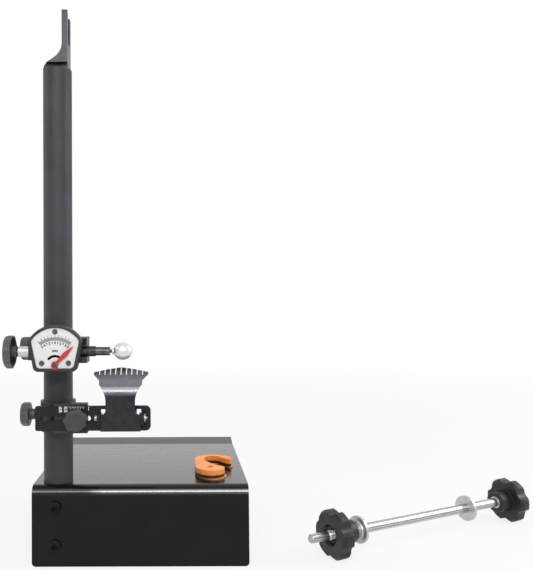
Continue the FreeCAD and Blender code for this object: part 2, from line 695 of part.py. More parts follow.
def make_plunger():
    """Stepped rod, its yoke, the ball at its tip and the return spring."""
    line_y, line_z = "plunger_y", "plunger_z"
    thin = rod(("rod_left", line_y, line_z), TO_RIGHT, "rod_radius", "rod_step - rod_left")
    thick = rod(("rod_step", line_y, line_z), TO_RIGHT, "plunger_radius",
                "plunger_right - rod_step")
    stem = rod(("plunger_right", line_y, line_z), TO_RIGHT, "stem_radius",
               "ball_x - plunger_right")
    node("plunger_rod", join(thin, thick, stem))

    centre = "(pivot_x + drive_radius * sin(needle_angle))"
    hub = rod((f"{centre} - yoke_width / 2", line_y, line_z), TO_RIGHT, "yoke_hub",
              "yoke_width")
    web = box(f"{centre} - yoke_width / 2", "yoke_front", "plunger_z - 8.4",
              "yoke_width", "yoke_thick", "12")
    bridge = box(f"{centre} - yoke_width / 2", "yoke_front", "plunger_z - 1", "yoke_width",
                 "plunger_y - yoke_front", "4.6")
    slot = box(f"{centre} - yoke_slot / 2", "yoke_front - 1", "plunger_z - 8.8",
               "yoke_slot", "yoke_thick + 1.4", "6.8")
    bore = rod((f"{centre} - yoke_width / 2", line_y, line_z), TO_RIGHT, "rod_radius",
               "yoke_width")
    node("plunger_yoke", cut(join(hub, web, bridge), slot, bore))

    ball = primitive("Ellipsoid", ("ball_x", line_y, line_z), TO_RIGHT,
                     Radius1="ball_length", Radius2="ball_radius", Radius3="ball_radius")
    collar = rod(("ball_x - ball_length - 0.6", line_y, line_z), TO_RIGHT, "3.1", "3")
    stem_hole = rod(("ball_x - ball_length - 1", line_y, line_z), TO_RIGHT, "stem_radius",
                    "ball_length + 1")
    node("feeler_ball", cut(join(ball, collar), stem_hole))

    spring = coil("spring_radius", "spring_wire", "spring_turns",
                  "pivot_x + drive_radius * sin(needle_angle) - yoke_width / 2"
                  " - guide_nut_end - 2 * spring_wire - 0.4")
    place(spring, ("guide_nut_end + spring_wire + 0.2", line_y, line_z), TO_RIGHT)
    node("return_spring", spring)


def coil(radius, wire, turns, length):
    """A helical spring that stands on the origin, its axis along Z."""
    helix = doc.addObject("Part::Helix", "Helix")
    helix.setExpression("Radius", link(radius))
    helix.setExpression("Height", link(length))
    helix.setExpression("Pitch", link(f"({length}) / {turns}"))
    section = doc.addObject("Part::Circle", "Section")
    section.setExpression("Radius", link(wire))
    section.Placement = FreeCAD.Placement(V(size(radius), 0, 0), TO_FRONT)
    section.setExpression("Placement.Base.x", link(radius))
    sweep = doc.addObject("Part::Sweep", "Coil")
    sweep.Sections = [section]
    sweep.Spine = (helix, [])
    sweep.Solid = True
    sweep.Frenet = True
    return sweep


def make_guides():
    """The zinc-plated guide nut, the black guide bush and the bush's grub screw."""
    line_y, line_z = "plunger_y", "plunger_z"
    barrel = rod(("guide_nut_left", line_y, line_z), TO_RIGHT, "guide_nut_radius",
                 "block_left - guide_nut_left")
    spigot = rod(("block_left", line_y, line_z), TO_RIGHT, "4.75",
                 "guide_nut_end - block_left")
    bore = rod(("guide_nut_left", line_y, line_z), TO_RIGHT, "rod_radius + 0.08",
               "guide_nut_end - guide_nut_left")
    node("guide_nut", cut(join(barrel, spigot), bore))

    barrel = rod(("guide_bush_left", line_y, line_z), TO_RIGHT, "guide_bush_radius",
                 "guide_bush_step - guide_bush_left")
    head = rod(("guide_bush_step", line_y, line_z), TO_RIGHT, "guide_bush_head",
               "guide_bush_right - guide_bush_step")
    bore = rod(("guide_bush_left", line_y, line_z), TO_RIGHT, "plunger_radius + 0.08",
               "guide_bush_right - guide_bush_left")
    screw_hole = rod(("slit_x", "plunger_y - 12", "plunger_z + 0.8"), TO_BACK, "1.5", "12")
    saddle = box("throat_left", "plunger_y + 3", "throat_low", "block_right - throat_left - 1",
                 "pocket_back - plunger_y - 3", "pocket_high - throat_low")
    node("guide_bush", cut(join(barrel, head, saddle), bore, screw_hole))

    grub = rod(("slit_x", "plunger_y - 5.6", "plunger_z + 0.8"), TO_BACK, "1.5", "1.15")
    socket = hexagon(("slit_x", "plunger_y - 5.6", "plunger_z + 0.8"), TO_BACK, "0.8", "0.6")
    node("guide_screw", cut(grub, socket))


def make_adjust_knob():
    """Large star knob, hollow on the side that faces the gauge, on the rod's left end."""
    outline = [
        ("rod_radius", "-3.8"), ("5.6", "-3.8"), ("5.6", "5"),
        ("adjust_knob_radius - 3", "5"), ("adjust_knob_radius - 3", "0.8"),
        ("adjust_knob_radius - 2.2", "0"), ("adjust_knob_radius - 0.8", "0"),
        ("adjust_knob_radius", "0.8"), ("adjust_knob_radius", "adjust_knob_thick - 2.5"),
        ("adjust_knob_radius - 2", "adjust_knob_thick - 0.6"),
        ("adjust_knob_radius - 5", "adjust_knob_thick"), ("0", "adjust_knob_thick"),
        ("0", "7"), ("rod_radius", "7"),
    ]
    at = ("adjust_knob_back", "plunger_y", "plunger_z")
    star_knob("adjust_knob", at, TO_LEFT, outline, 7, "1.3 * adjust_knob_radius",
              "2.2 * adjust_knob_radius")


# ---------------------------------------------------------------- lower gauge
def make_lower_collar():
    """Ring round the column with the guide channel for the arm in front."""
    ring = rod(("column_x", "column_y", "lower_low"), UP, "lower_ring", "lower_height")
    block = box("channel_left", "arm_front", "channel_low", "channel_right - channel_left",
                "channel_back - arm_front", "channel_high - channel_low")
    saddle = box("channel_left", "arm_front", "channel_low", "saddle_right - channel_left",
                 "saddle_back - arm_front", "channel_high - channel_low")
    boss = rod(("lower_boss_left", "column_y", "lower_clamp_height"), TO_RIGHT, "clamp_boss",
               "column_x - lower_boss_left")
    bore = rod(("column_x", "column_y", "channel_low"), UP, "collar_bore",
               "channel_high - channel_low")
    seat = rod(("column_x", "column_y", "lower_low + lower_height"), UP, "bush_flange + 0.3",
               "20")
    under = rod(("column_x", "column_y", "lower_low - 20"), UP, "bush_flange + 0.3", "20")
    groove = box("channel_left", "arm_front", "arm_middle - arm_height / 2 - 0.1",
                 "channel_right - channel_left", "arm_thick + 0.15", "arm_height + 0.2")
    screw_hole = rod(("lower_boss_left", "column_y", "lower_clamp_height"), TO_RIGHT,
                     "clamp_screw_radius + 0.05", "column_x - lower_boss_left")
    lock_hole = rod(("lock_x", "arm_front", "lock_height"), TO_BACK,
                    "clamp_screw_radius + 0.05", "channel_back - arm_front")
    node("lower_collar", cut(join(ring, block, saddle, boss), bore, seat, under, groove,
                             screw_hole, lock_hole))


def make_arm_plate():
    """Slotted plate with two windows and two lugs bent forward for the hinge pin."""
    body = new_body("arm_plate", ("arm_left", "arm_front + arm_thick",
                                  "arm_middle - arm_height / 2"))
    outline = sketch_on(body, "XZ_Plane")
    draw_outline(outline, [("0", "0"), ("arm_length", "0"), ("arm_length", "arm_height"),
                           ("0", "arm_height")])
    plate = pad(body, outline, "arm_thick")
    length, height = size("arm_length"), size("arm_height")
    plate = soften(body, "Fillet", plate,
                   lambda p: near(p.x, length) and (near(p.z, 0) or near(p.z, height)),
                   "arm_corner")
    plate = soften(body, "Fillet", plate,
                   lambda p: near(p.x, 0) and (near(p.z, 0) or near(p.z, height)), "2")
    slot = sketch_on(body, "XZ_Plane")
    middle = "arm_height / 2"
    start = "arm_slot_left - arm_left + arm_slot_width / 2"
    end = "arm_slot_left - arm_left + arm_slot_length - arm_slot_width / 2"
    draw_outline(slot, [(start, middle + " - arm_slot_width / 2"),
                        (end, middle + " - arm_slot_width / 2"),
                        (end, middle + " + arm_slot_width / 2"),
                        (start, middle + " + arm_slot_width / 2")])
    pocket(body, slot, reverse=True)
    for x in (start, end):
        tip = sketch_on(body, "XZ_Plane")
        draw_circle(tip, x, middle, "arm_slot_width / 2")
        pocket(body, tip, reverse=True)
    low = "window_low - arm_middle + arm_height / 2"
    high = "window_high - arm_middle + arm_height / 2"
    edge = "blade_x - arm_left"
    inner, outer = "(blade_web - window_width + 0.2)", "(blade_web + lug_gap)"
    for near_x, far_x in ((f"{edge} - {outer}", f"{edge} - {inner}"),
                          (f"{edge} + {inner}", f"{edge} + {outer}")):
        window = sketch_on(body, "XZ_Plane")
        draw_outline(window, [(near_x, low), (far_x, low), (far_x, high), (near_x, high)])
        pocket(body, window, reverse=True)
    reach = "arm_front - hinge_y + 3.8"
    for lug_x in (f"{edge} - {outer} - arm_thick", f"{edge} + {outer}"):
        lug = sketch_on(body, "XZ_Plane")
        draw_outline(lug, [(lug_x, low), (f"{lug_x} + arm_thick", low),
                           (f"{lug_x} + arm_thick", low + " + 12"), (lug_x, low + " + 12")])
        plate = pad(body, lug, f"arm_thick + {reach}")
    front = -size(f"arm_thick + {reach}")
    soften(body, "Fillet", plate, lambda p: near(p.y, front) and not near(p.z, 0)
           and (near(p.z, size(low)) or near(p.z, size(low + " + 12"))), "3")
    hinge = sketch_on(body, "YZ_Plane")
    draw_circle(hinge, "hinge_y - arm_front - arm_thick",
                "hinge_z - arm_middle + arm_height / 2", "hinge_radius + 0.06")
    pocket(body, hinge, reverse=True)


def make_blade():
    """Notched blade: web with two ears on the hinge pin, neck, and a fan bent back."""
    x = size("blade_x")
    front, steel = size("blade_front"), size("blade_sheet")
    low, bend = size("blade_low"), size("bend_height")
    tilt = math.radians(size("fan_tilt"))
    run = V(0, math.sin(tilt), math.cos(tilt)) * size("fan_length")
    normal = V(0, math.cos(tilt), -math.sin(tilt)) * steel
    half = size("fan_half") + 1
    inner_bend = V(0, front + steel, bend - steel * math.tan(tilt / 2))
    corner = V(0, front, bend)
    strip = Part.Face(Part.makePolygon([
        V(0, front, low), corner, corner + run, corner + run + normal, inner_bend,
        V(0, front + steel, low), V(0, front, low)]))
    strip = strip.extrude(V(2 * half, 0, 0))
    bends = [e for e in strip.Edges if len(e.Vertexes) == 2
             and near(e.Length, 2 * half) and near(e.CenterOfMass.z, bend, 2)]
    for edge in bends:
        outer = near(edge.CenterOfMass.y, front)
        radius = size("bend_radius") + (steel if outer else 0)
        strip = strip.makeFillet(radius, [match_edge(strip, edge)])
    strip.translate(V(x - half, 0, 0))
    outline = blade_outline(x, front)
    blade = strip.common(outline.extrude(V(0, 60, 0)))
    count, pitch = int(size("notch_count")), size("notch_pitch")
    width = size("notch_width")
    for i in range(count):
        left = x + (i - (count - 1) / 2) * pitch - width / 2
        blade = blade.cut(Part.makeBox(width, 60, 30, V(left, front, size("notch_low"))))
    web, pin_y, pin_z = size("blade_web"), size("hinge_y"), size("hinge_z")
    for ear_x in (x - web, x + web - steel):
        ear = Part.makeBox(steel, pin_y - front, 13, V(ear_x, front, pin_z - 8))
        ear = ear.fuse(Part.makeBox(steel, size("arm_front") - 0.2 - pin_y,
                                    4.9, V(ear_x, pin_y, pin_z)))
        ear = ear.fuse(Part.makeCylinder(4.2, steel, V(ear_x, pin_y, pin_z), V(1, 0, 0)))
        blade = blade.fuse(ear)
        blade = blade.cut(Part.makeCylinder(size("hinge_radius") + 0.06, steel,
                                            V(ear_x, pin_y, pin_z), V(1, 0, 0)))
    blade = blade.removeSplitter()
    folds = [e for e in blade.Edges if near(abs(e.CenterOfMass.x - x), web) and e.Length > 9
             and near(e.BoundBox.YMin, front) and near(e.BoundBox.YMax, front)]
    node("gauge_blade", shaped(blade.makeFillet(size("edge_round"), folds)))


def match_edge(shape, wanted):
    """The shape's edge at the place of an edge of its earlier self."""
    return min(shape.Edges, key=lambda e: (e.CenterOfMass - wanted.CenterOfMass).Length
               + abs(e.Length - wanted.Length))


def blade_outline(x, y):
    """Front view of the blade: web, neck, flared waist, pointed tips and low gable."""
    web, neck = size("blade_web"), size("blade_neck")
    step, tip = size("fan_step"), size("fan_half")
    low, shoulder = size("blade_low"), size("blade_shoulder")
    flare, waist = size("bend_height") - 4.6, size("fan_waist")

    def side(s):
        """Edges of one side, from the foot to the gable; s is +1 at the right."""
        foot = V(x + s * web, y, low)
        shoulder_end = V(x + s * web, y, shoulder - 1.5)
        neck_low = V(x + s * (neck + 2), y, shoulder + 0.5)
        neck_start = V(x + s * neck, y, shoulder + 2.5)
        neck_end = V(x + s * neck, y, flare - 8)
        waist_end = V(x + s * step, y, waist)
        ledge = V(x + s * step, y, waist + 3.6)
        tip_low = V(x + s * tip, y, size("fan_tip_low"))
        tip_high = V(x + s * (tip - 0.2), y, size("fan_tip"))
        bow = V(x + s * (neck + 1.6), y, flare + 1.2)
        gable = V(x + s * tip * 0.5, y, size("fan_tip * 0.42 + fan_apex * 0.58"))
        apex = V(x, y, size("fan_apex"))
        return [line(foot, shoulder_end), line(shoulder_end, neck_low),
                line(neck_low, neck_start), line(neck_start, neck_end),
                arc(neck_end, bow, waist_end), line(waist_end, ledge), line(ledge, tip_low),
                line(tip_low, tip_high), line(tip_high, gable), line(gable, apex)]

    foot_line = line(V(x - web, y, low), V(x + web, y, low))
    return Part.Face(Part.Wire(Part.__sortEdges__(side(1) + side(-1) + [foot_line])))


def make_blade_hinge():
    """Hinge pin with its head, the clip on its end and the torsion spring round it."""
    left = "(blade_x - blade_web - lug_gap - arm_thick)"
    right = "(blade_x + blade_web + lug_gap + arm_thick)"
    shank = rod((f"{left} - 1", "hinge_y", "hinge_z"), TO_RIGHT, "hinge_radius",
                f"{right} - {left} + 4.2")
    head = rod((f"{left} - 0.3", "hinge_y", "hinge_z"), TO_LEFT, "3.1", "2.2")
    tip = cone((f"{left} - 2.5", "hinge_y", "hinge_z"), TO_LEFT, "3.1", "2", "1")
    node("hinge_pin", join(shank, head, tip))

    ring = rod((f"{right} + 0.3", "hinge_y", "hinge_z"), TO_RIGHT, "4.3", "1.3")
    hole = rod((f"{right} + 0.3", "hinge_y", "hinge_z"), TO_RIGHT, "hinge_radius", "1.3")
    node("pin_clip", cut(ring, hole))

    turns = coil("2.55", "0.45", "10", "14")
    place(turns, ("blade_x - 7", "hinge_y", "hinge_z"), TO_RIGHT)
    node("blade_spring", turns)


def make_lock():
    """Screw, washer and knob that lock the arm in its channel."""
    height = "lock_height"
    node("lock_screw", rod(("lock_x", "channel_back + 2", height), TO_FRONT,
                           "clamp_screw_radius", "channel_back + 2 - arm_front + 8.5"))
    washer = rod(("lock_x", "arm_front - 0.1", height), TO_FRONT, "6.8", "1.2")
    hole = rod(("lock_x", "arm_front - 0.1", height), TO_FRONT, "clamp_screw_radius + 0.2",
               "1.2")
    node("lock_washer", cut(washer, hole))
    make_small_knob("lock_knob", "lock_knob_radius",
                    ("lock_x", "arm_front - 1.4 - knob_hub", height), TO_FRONT)


# ---------------------------------------------------------------- clamp axle
def along_axle(distance):
    """Where a distance along the lying axle is, from its near tip."""
    height = "(hand_knob_radius * hand_knob_radius + scallop_centre * scallop_centre" \
             " - scallop_radius * scallop_radius) / (2 * scallop_centre)"
    return (f"axle_x + ({distance}) * cos(axle_yaw)", f"axle_y + ({distance}) * sin(axle_yaw)",
            height)


def axle_turn(base):
    return TURN(V(0, 0, 1), size("axle_yaw")) * base


def make_hand_knob(label, distance, base_turn):
    """Six-lobed hand knob with a long hub, a stepped bore and a dished front."""
    outline = [
        ("insert_radius", "-hand_knob_hub_length"),
        ("hand_knob_hub - 0.8", "-hand_knob_hub_length"),
        ("hand_knob_hub", "0.8 - hand_knob_hub_length"), ("hand_knob_hub + 1", "0"),
        ("hand_knob_radius - 2.5", "0"), ("hand_knob_radius", "2.5"),
        ("hand_knob_radius", "hand_knob_thick - 3"),
        ("hand_knob_radius - 3", "hand_knob_thick"), ("11", "hand_knob_thick"),
        ("8.5", "hand_knob_thick - 4"), ("axle_radius + 0.4", "hand_knob_thick - 5"),
        ("axle_radius + 0.4", "insert_length - hand_knob_hub_length"),
        ("insert_radius", "insert_length - hand_knob_hub_length"),
    ]
    star_knob(label, along_axle(distance), axle_turn(base_turn), outline, 6,
              "scallop_radius", "scallop_centre")


def make_insert(label, distance):
    """Threaded metal insert in a hand knob's hub."""
    outer = rod(along_axle(distance), axle_turn(TO_RIGHT), "insert_radius", "insert_length")
    bore = rod(along_axle(distance), axle_turn(TO_RIGHT), "axle_radius + 0.05",
               "insert_length")
    node(label, cut(outer, bore))


def make_adapter(label, distance, base_turn):
    """Flanged bush, loose on the axle; its stepped nose faces the hand knob."""
    at, turn = along_axle(distance), axle_turn(base_turn)
    flange = rod(at, turn, "adapter_radius", "adapter_flange")
    nose = cone(at, turn, "adapter_nose + 2", "adapter_nose", "adapter_flange + 1.6")
    tip = rod(at, turn, "adapter_nose_end", "adapter_flange + adapter_nose_length")
    bore = rod(at, turn, "adapter_bore", "adapter_flange + adapter_nose_length")
    node(label, cut(join(flange, nose, tip), bore))


def make_axle_set():
    """Clamp axle with a plain tip, and a hand knob and a loose adapter at each end."""
    turn = axle_turn(TO_RIGHT)
    point = cone(along_axle("0"), turn, "tip_radius - 1", "tip_radius", "1.5")
    tip = rod(along_axle("1.5"), turn, "tip_radius", "tip_length - 1.5")
    shaft = rod(along_axle("tip_length"), turn, "axle_radius", "axle_length - tip_length")
    node("axle_rod", join(point, tip, shaft))
    make_hand_knob("near_knob", "near_knob_at", TO_LEFT)
    make_insert("near_knob_insert", "near_knob_at + hand_knob_hub_length - insert_length")
    make_hand_knob("far_knob", "far_knob_at", TO_RIGHT)
    make_insert("far_knob_insert", "far_knob_at - hand_knob_hub_length")
    make_adapter("near_adapter", "near_adapter_at", TO_LEFT)
    make_adapter("far_adapter", "far_adapter_at", TO_RIGHT)


# ---------------------------------------------------------------- hub spacer
def spacer_face(z, shift):
    """C-shaped outline, open to the right, of arcs through three points."""
    def at(x, y):
        return V(x + shift, y, z)

    return flat_face(
        arc(at(97.3, 76.5), at(92.4, 88.6), at(81.4, 94.7)),
        arc(at(81.4, 94.7), at(65.2, 91.2), at(57, 76)), line(at(57, 76), at(57, 46)),
        arc(at(57, 46), at(59.6, 31.4), at(68, 23.5)),
        arc(at(68, 23.5), at(76, 22.4), at(83.5, 27.5)),
        arc(at(83.5, 27.5), at(87.3, 34), at(85, 42)),
        arc(at(85, 42), at(76.3, 50.6), at(70, 62.5)),
        arc(at(70, 62.5), at(67.3, 75), at(71, 87)),
        arc(at(71, 87), at(79.4, 88.6), at(86.4, 81.4)),
        arc(at(86.4, 81.4), at(90.2, 76.4), at(93.8, 72)),
        arc(at(93.8, 72), at(96.6, 72.8), at(97.3, 76.5)))


def make_spacer():
    """Orange top and bottom plates with a black core between them."""
    low = size("base_height")
    for label, thick, shift in (("spacer_bottom", "spacer_bottom_thick", 1.4),
                                ("spacer_core", "spacer_core_thick", 0.0),
                                ("spacer_top", "spacer_top_thick", 0.0)):
        height = size(thick)
        plate = spacer_face(low, shift).extrude(V(0, 0, height))
        hole = Part.makeCylinder(size("spacer_hole"), height,
                                 V(size("spacer_hole_x"), size("spacer_hole_y"), low))
        node(label, shaped(plate.cut(hole)))
        low += height


# ---------------------------------------------------------------- assembly and files
def build():
    make_base_shell()
    make_column_tube()
    make_column_screws()
    make_column_nuts()
    make_dropout_head()
    make_bush("upper_bush", "block_low", "block_height")
    make_upper_collar()
    make_clamp_screw("upper_clamp_screw", "upper_clamp_height")
    make_small_knob("upper_clamp_knob", "clamp_knob_radius",
                    ("clamp_knob_back", "column_y", "upper_clamp_height"), TO_LEFT)
    make_gauge_housing()
    make_dial_plate()
    make_dial_screws()
    make_needle_pivot()
    make_needle()
    make_plunger()
    make_guides()
    make_adjust_knob()
    make_bush("lower_bush", "lower_low", "lower_height")
    make_lower_collar()
    make_clamp_screw("lower_clamp_screw", "lower_clamp_height")
    make_small_knob("lower_clamp_knob", "clamp_knob_radius",
                    ("clamp_knob_back", "column_y", "lower_clamp_height"), TO_LEFT)
    make_arm_plate()
    make_lock()
    make_blade()
    make_blade_hinge()
    make_axle_set()
    make_spacer()
    doc.recompute()


def check():
    """Stop if any object failed or a sub-part is empty or broken."""
    failed = [f"{o.Label} {o.State}" for o in doc.Objects
              if "Invalid" in o.State or "Error" in o.State]
    for label, item in nodes.items():
        shape = item.Shape
        if shape.isNull() or not shape.isValid() or not shape.Solids:
            failed.append(label)
    if failed:
        raise RuntimeError("failed: " + ", ".join(failed))


def write():
    os.makedirs("parts", exist_ok=True)
    for label, item in nodes.items():
        item.Shape.exportStep(f"parts/{label}.step")
        extent = item.Shape.BoundBox
        print(f"{label:20s} {len(item.Shape.Solids)} solids"
              f" x {extent.XMin:7.1f} {extent.XMax:7.1f} y {extent.YMin:7.1f} {extent.YMax:7.1f}"
              f" z {extent.ZMin:7.1f} {extent.ZMax:7.1f} volume {item.Shape.Volume:9.0f}")


build()
check()
write()
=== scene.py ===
"""Looks of the wheel truing stand: finishes, screw threads, printed scales and the studio.

Metres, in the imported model's own frame: +X right, +Y back, +Z up, origin at the middle
of the front panel's lower edge.
"""

import json
import math

import bpy
from mathutils import Matrix, Vector


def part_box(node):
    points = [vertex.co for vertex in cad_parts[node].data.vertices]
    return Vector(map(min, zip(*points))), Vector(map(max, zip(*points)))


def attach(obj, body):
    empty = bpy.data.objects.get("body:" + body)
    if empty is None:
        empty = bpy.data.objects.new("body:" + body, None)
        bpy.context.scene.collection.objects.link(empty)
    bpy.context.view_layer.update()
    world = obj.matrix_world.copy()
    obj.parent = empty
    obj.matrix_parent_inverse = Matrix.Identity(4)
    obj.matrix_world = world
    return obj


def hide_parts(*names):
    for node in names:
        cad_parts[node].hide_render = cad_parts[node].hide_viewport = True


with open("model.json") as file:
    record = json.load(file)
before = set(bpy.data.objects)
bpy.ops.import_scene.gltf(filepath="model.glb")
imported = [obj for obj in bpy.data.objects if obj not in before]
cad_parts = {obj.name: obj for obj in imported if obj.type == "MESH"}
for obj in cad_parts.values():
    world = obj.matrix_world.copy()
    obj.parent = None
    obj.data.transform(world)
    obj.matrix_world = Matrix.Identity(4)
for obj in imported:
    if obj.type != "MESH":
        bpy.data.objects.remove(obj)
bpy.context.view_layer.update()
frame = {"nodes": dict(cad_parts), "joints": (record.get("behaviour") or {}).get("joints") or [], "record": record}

MM = 0.001
NODES = frame["nodes"]
UP = Vector((0, 0, 1))


# ---------------------------------------------------------------- shader building blocks
class Shader:
    """A material with a Principled surface and short calls for the nodes that feed it."""

    def __init__(self, name):
        self.material = bpy.data.materials.new(name)
        self.material.use_nodes = True
        self.tree = self.material.node_tree
        self.surface = self.tree.nodes["Principled BSDF"]
        self.place = self.add("ShaderNodeTexCoord").outputs["Object"]

    def add(self, kind, **settings):
        node = self.tree.nodes.new(kind)
        for name, value in settings.items():
            setattr(node, name, value)
        return node

    def feed(self, socket, value):
        """Set an input to a number or a colour, or link it to another node's output."""
        if isinstance(value, bpy.types.NodeSocket):
            self.tree.links.new(value, socket)
        else:
            socket.default_value = value

    def set(self, **values):
        """Set inputs of the Principled surface by their names in lower case."""
        sockets = {s.name.lower().replace(" ", "_"): s for s in self.surface.inputs}
        for name, value in values.items():
            self.feed(sockets[name], value)

    def math(self, operation, a, b):
        node = self.add("ShaderNodeMath", operation=operation)
        self.feed(node.inputs[0], a)
        self.feed(node.inputs[1], b)
        return node.outputs[0]

    def stretched(self, scale, yaw=0.0):
        """The object's own coordinates, turned about Z and then scaled along each axis."""
        node = self.add("ShaderNodeMapping", vector_type="TEXTURE")
        self.feed(node.inputs["Vector"], self.place)
        node.inputs["Rotation"].default_value = (0.0, 0.0, yaw)
        node.inputs["Scale"].default_value = [1.0 / number for number in scale]
        return node.outputs[0]

    def noise(self, scale, detail=3.0, rough=0.5, place=None):
        """Noise with a value from 0 to 1; scale is in waves for each metre."""
        node = self.add("ShaderNodeTexNoise")
        self.feed(node.inputs["Vector"], place or self.place)
        self.feed(node.inputs["Scale"], scale)
        self.feed(node.inputs["Detail"], detail)
        self.feed(node.inputs["Roughness"], rough)
        return node.outputs[0]

    def cells(self, scale):
        """Distance from the centres of scattered cells."""
        node = self.add("ShaderNodeTexVoronoi")
        self.feed(node.inputs["Vector"], self.place)
        self.feed(node.inputs["Scale"], scale)
        return node.outputs["Distance"]

    def span(self, value, low, high, start, end):
        """Map a value from one span to another, held inside the second."""
        node = self.add("ShaderNodeMapRange")
        for name, number in (("Value", value), ("From Min", low), ("From Max", high),
                             ("To Min", start), ("To Max", end)):
            self.feed(node.inputs[name], number)
        return node.outputs[0]

    def blend(self, amount, a, b):
        """A colour between two colours."""
        node = self.add("ShaderNodeMix", data_type="RGBA")
        self.feed(node.inputs[0], amount)
        for socket, colour in ((node.inputs[6], a), (node.inputs[7], b)):
            self.feed(socket, colour if isinstance(colour, bpy.types.NodeSocket)
                      else (*colour, 1.0))
        return node.outputs[2]

    def edges(self, radius):
        """Soft-edge normal, and a mask that is 1 on sharp outer edges."""
        bevel = self.add("ShaderNodeBevel", samples=4)
        bevel.inputs["Radius"].default_value = radius
        normal = self.add("ShaderNodeNewGeometry").outputs["Normal"]
        dot = self.add("ShaderNodeVectorMath", operation="DOT_PRODUCT")
        self.feed(dot.inputs[0], bevel.outputs[0])
        self.feed(dot.inputs[1], normal)
        return bevel.outputs[0], self.span(dot.outputs["Value"], 0.98, 0.8, 0.0, 1.0)

    def bump(self, height, distance, normal):
        """A normal roughened by a height from 0 to 1 that stands for a distance in metres."""
        node = self.add("ShaderNodeBump")
        self.feed(node.inputs["Height"], height)
        node.inputs["Distance"].default_value = distance
        node.inputs["Strength"].default_value = 1.0
        self.feed(node.inputs["Normal"], normal)
        return node.outputs[0]


def painted(name, dark, light, roughness, peel_size, peel_depth, edge_radius, wear):
    """Paint on steel: cloudy colour, orange-peel bump, fine dust and thin wear on edges."""
    s = Shader(name)
    bare_steel, spread = (0.30, 0.30, 0.31), 0.05
    soft, edge = s.edges(edge_radius)
    cloud = s.noise(28.0, 4.0)
    colour = s.blend(s.span(cloud, 0.35, 0.7, 0.0, 1.0), dark, light)
    speck = s.span(s.cells(420.0), 0.10, 0.04, 0.0, 0.35)
    dusty = s.math("MULTIPLY", speck, s.span(s.noise(60.0), 0.5, 0.75, 0.0, 1.0))
    colour = s.blend(dusty, colour, tuple(min(1.0, 3 * c + 0.03) for c in light))
    chipped = s.math("MULTIPLY", edge, s.span(s.noise(700.0, 5.0), 0.48, 0.62, 0.0, wear))
    colour = s.blend(chipped, colour, bare_steel)
    s.set(base_color=colour,
          roughness=s.span(s.noise(90.0, 5.0), 0.3, 0.7, roughness - spread, roughness + spread))
    peel = s.math("ADD", s.noise(1.0 / peel_size, 2.0), s.math("MULTIPLY", dusty, 0.6))
    s.set(normal=s.bump(peel, peel_depth, soft))
    return s


def moulded(name, dark, light, roughness, grain_size, grain_depth, edge_radius=0.0007):
    """Moulded plastic: spark-eroded grain, slight sink marks, and edges painted lighter, partly as rubbing wear
    and partly as a painted highlight on the edges.
    """
    s = Shader(name)
    soft, edge = s.edges(edge_radius)
    colour = s.blend(s.span(s.noise(45.0, 4.0), 0.35, 0.7, 0.0, 1.0), dark, light)
    # Edges painted lighter: partly rubbing wear, partly a painted highlight where the edges would catch the light.
    rubbed_and_highlit = s.math("MULTIPLY", edge, s.span(s.noise(300.0, 4.0), 0.4, 0.7, 0.1, 0.5))
    colour = s.blend(rubbed_and_highlit, colour, tuple(min(1.0, 2.2 * c + 0.01) for c in light))
    grain = s.noise(1.0 / grain_size, 4.0, 0.6)
    s.set(base_color=colour,
          roughness=s.span(s.noise(160.0, 4.0), 0.3, 0.7, roughness - 0.06, roughness + 0.08))
    coarse = s.bump(s.noise(70.0, 1.0), 0.00025, soft)
    s.set(normal=s.bump(grain, grain_depth, coarse))
    return s


def turned_metal(name, dark, light, roughness, line_scale, line_depth=0.000006,
                 edge_radius=0.0003, metallic=1.0, patch_scale=320.0, yaw=0.0):
    """Bare or plated metal: fine tool lines, patchy plating and bright edges."""
    s = Shader(name)
    soft, edge = s.edges(edge_radius)
    patch = s.noise(patch_scale, 4.0, 0.5)
    colour = s.blend(s.span(patch, 0.35, 0.65, 0.0, 1.0), dark, light)
    colour = s.blend(s.math("MULTIPLY", edge, 0.3), colour,
                     tuple(min(0.92, 2.2 * c) for c in light))
    lines = s.noise(1.0, 3.0, 0.6, s.stretched(line_scale, yaw))
    rough = s.math("ADD", s.span(patch, 0.3, 0.7, roughness - 0.03, roughness + 0.04),
                   s.span(lines, 0.3, 0.7, -0.03, 0.03))
    s.set(base_color=colour, metallic=metallic, roughness=rough,
          normal=s.bump(lines, line_depth, soft))
    return s


# ---------------------------------------------------------------- the finishes
def base_paint():
    """Glossy black paint, rubbed to a shine along the front fold."""
    s = painted("base_paint", dark=(0.0035, 0.0035, 0.004), light=(0.006, 0.0058, 0.0058),
                roughness=0.26, peel_size=0.0034, peel_depth=0.000005, edge_radius=0.0008,
                wear=0.3)
    band_start, band_full, band_fading, band_end = 0.0716, 0.0728, 0.0750, 0.0765
    panel_coat, fold_coat = 0.55, 1.0
    split = s.add("ShaderNodeSeparateXYZ")
    s.feed(split.inputs[0], s.place)
    height = split.outputs["Z"]
    band = s.math("MULTIPLY", s.span(height, band_start, band_full, 0.0, 1.0),
                  s.span(height, band_fading, band_end, 1.0, 0.0))
    beside_column = s.span(split.outputs["X"], -0.053, -0.038, 0.2, 1.0)
    band = s.math("MULTIPLY", band, beside_column)
    rubbed_and_highlit = s.math("MULTIPLY", band, s.span(split.outputs["Y"], 0.008, 0.012, 1.0, 0.0))
    s.set(specular_ior_level=0.04,
          coat_weight=s.span(height, 0.070, 0.0715, panel_coat, fold_coat),
          coat_ior=s.span(rubbed_and_highlit, 0.0, 1.0, 1.35, 2.35),
          coat_roughness=s.span(rubbed_and_highlit, 0.0, 1.0, 0.15, 0.18))
    return s


def column_paint():
    s = painted("column_paint", dark=(0.034, 0.036, 0.040), light=(0.046, 0.048, 0.053),
                roughness=0.46, peel_size=0.0016, peel_depth=0.00010, edge_radius=0.0005,
                wear=0.2)
    s.set(specular_ior_level=0.26)
    return s


